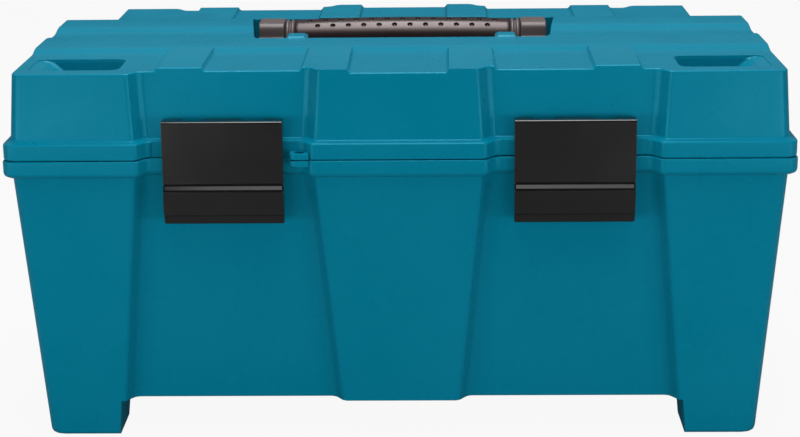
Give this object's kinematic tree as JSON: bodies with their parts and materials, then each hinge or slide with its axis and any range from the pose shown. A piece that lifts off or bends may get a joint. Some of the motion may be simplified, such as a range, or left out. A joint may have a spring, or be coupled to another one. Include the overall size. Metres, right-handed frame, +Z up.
{
  "type": "hard tool case",
  "caption": "Moulded hard tool case with a hinged lid, front latches, padlock tabs and a carrying handle that folds into the lid.",
  "frame": {"origin": "on the floor under the middle of the case", "axes": "+X to the right seen from the front, -Y is the front with the latches, +Z up"},
  "size_m": [0.395, 0.2242, 0.198],
  "materials": {
    "teal_shell": "satin injection-moulded",
    "grey_handle": "satin",
    "grey_grip": "satin",
    "black_latch": "gloss",
    "steel_pin": "plain drawn wire"
  },
  "bodies": {
    "base": {"base_shell": "teal_shell", "hinge_pin_left": "steel_pin", "hinge_pin_right": "steel_pin"},
    "lid": {"lid_shell": "teal_shell", "handle_pin_left": "steel_pin", "handle_pin_right": "steel_pin", "latch_pin_left": "steel_pin", "latch_pin_right": "steel_pin"},
    "handle": {"handle_bail": "grey_handle", "grip_sleeve": "grey_grip", "grip_collar_left": "grey_grip", "grip_collar_right": "grey_grip"},
    "left_latch": {"latch_left": "black_latch"},
    "right_latch": {"latch_right": "black_latch"}
  },
  "joints": [
    {"name": "lid_hinge", "type": "hinge", "parent": "base", "child": "lid", "pos_m": [0, 0.10795, 0.1509], "axis": [-1, 0, 0], "range_deg": [0, 110]},
    {"name": "handle_pivot", "type": "hinge", "parent": "lid", "child": "handle", "pos_m": [0, -0.00855, 0.1892], "axis": [1, 0, 0], "range_deg": [0, 90]},
    {"name": "left_latch_pivot", "type": "hinge", "parent": "lid", "child": "left_latch", "pos_m": [-0.0873, -0.10515, 0.167], "axis": [-1, 0, 0], "range_deg": [0, 120]},
    {"name": "right_latch_pivot", "type": "hinge", "parent": "lid", "child": "right_latch", "pos_m": [0.0873, -0.10515, 0.167], "axis": [-1, 0, 0], "range_deg": [0, 120]}
  ]
}
